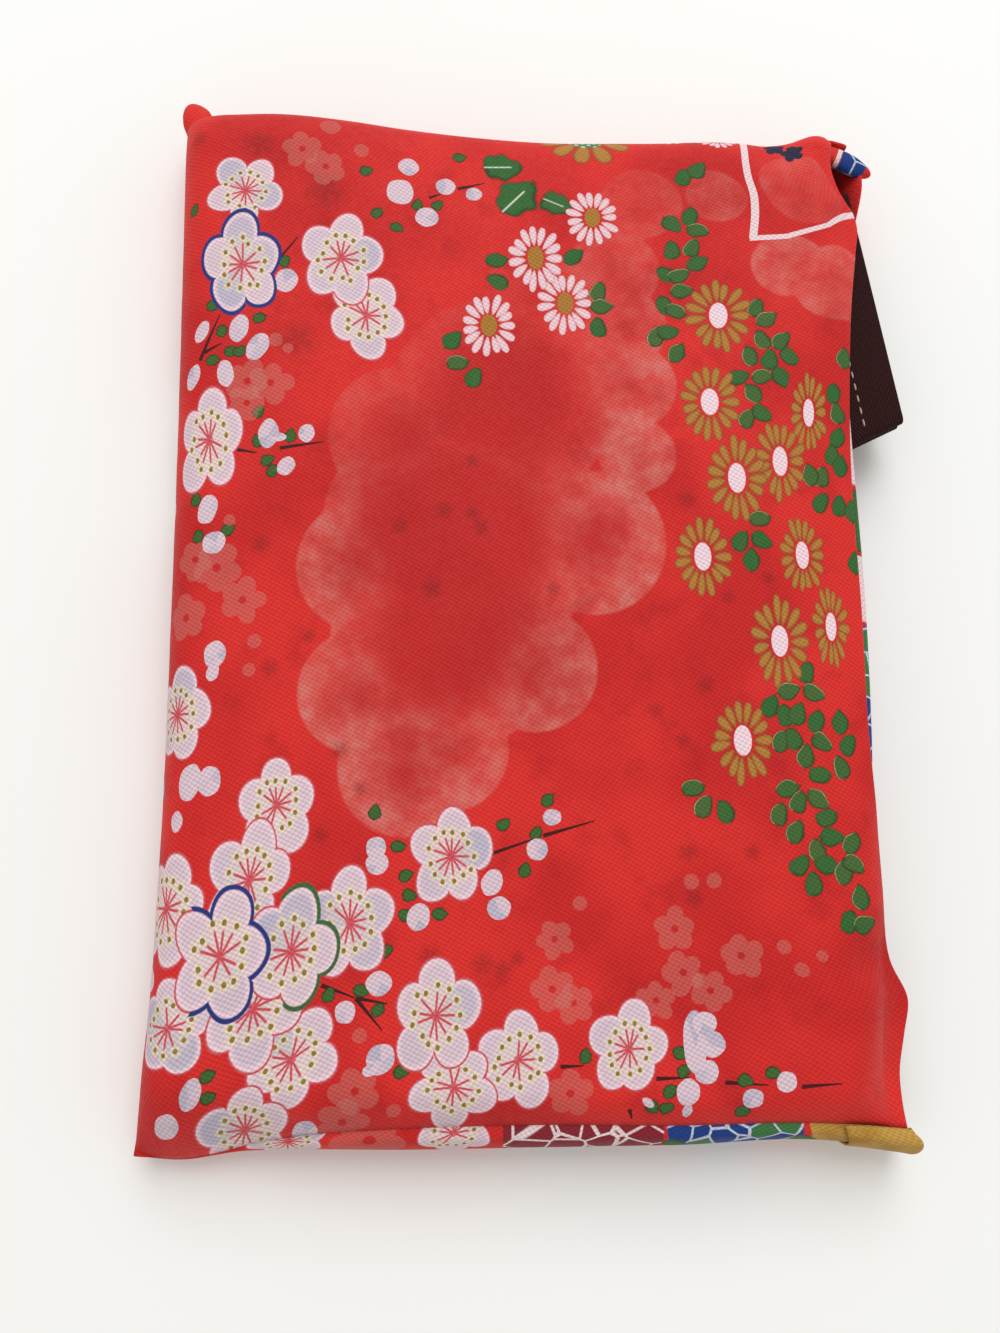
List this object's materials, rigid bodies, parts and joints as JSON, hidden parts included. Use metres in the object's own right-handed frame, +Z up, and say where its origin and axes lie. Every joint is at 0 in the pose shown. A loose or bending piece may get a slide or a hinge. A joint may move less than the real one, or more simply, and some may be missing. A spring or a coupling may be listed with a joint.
{
  "type": "fold-away tote bag in its pouch",
  "caption": "Fold-away shopping tote of printed polyester, folded and packed in an open-sided cloth pouch that lies flat, with a webbing handle poking out of the mouth.",
  "frame": {"origin": "under the middle of the pouch, on the table that its flat back panel lies on", "axes": "+Z up out of the front panel, +Y along the pouch towards its top seam, +X out of the pouch's mouth"},
  "size_m": [0.138, 0.194, 0.021],
  "materials": {
    "pouch_front_print": "printed plain-weave polyester, soft sheen",
    "pouch_back_print": "printed plain-weave polyester, soft sheen",
    "tote_print": "printed plain-weave polyester, soft sheen",
    "seam_binding": "narrow folded tape, matte",
    "seam_thread": "spun polyester thread",
    "handle_webbing": "dark brown twill webbing, matte",
    "handle_thread": "pale sewing thread"
  },
  "bodies": {
    "pouch": {"pouch_front_panel": "pouch_front_print", "pouch_back_panel": "pouch_back_print", "pouch_seam_thread": "seam_thread", "pouch_front_hem": "pouch_front_print", "pouch_back_hem": "pouch_back_print", "pouch_front_hem_thread": "seam_thread", "pouch_back_hem_thread": "seam_thread"},
    "tote": {"tote_front_panel": "tote_print", "tote_back_panel": "tote_print", "tote_left_seam_binding": "seam_binding", "tote_right_seam_binding": "seam_binding", "tote_bottom_seam_binding": "seam_binding", "tote_front_top_hem": "tote_print", "tote_back_top_hem": "tote_print", "tote_left_seam_thread": "seam_thread", "tote_right_seam_thread": "seam_thread", "tote_bottom_seam_thread": "seam_thread", "tote_front_hem_thread": "seam_thread", "tote_back_hem_thread": "seam_thread", "back_handle": "handle_webbing", "back_handle_edge_thread": "handle_thread"},
    "front_handle": {"front_handle": "handle_webbing", "front_handle_edge_thread": "handle_thread"}
  },
  "joints": [
    {"name": "tote_slide", "type": "slide", "parent": "pouch", "child": "tote", "axis": [1, 0, 0], "range_m": [0, 0.12]},
    {"name": "handle_pull", "type": "slide", "parent": "tote", "child": "front_handle", "axis": [1, 0, 0], "range_m": [0, 0.06]}
  ]
}
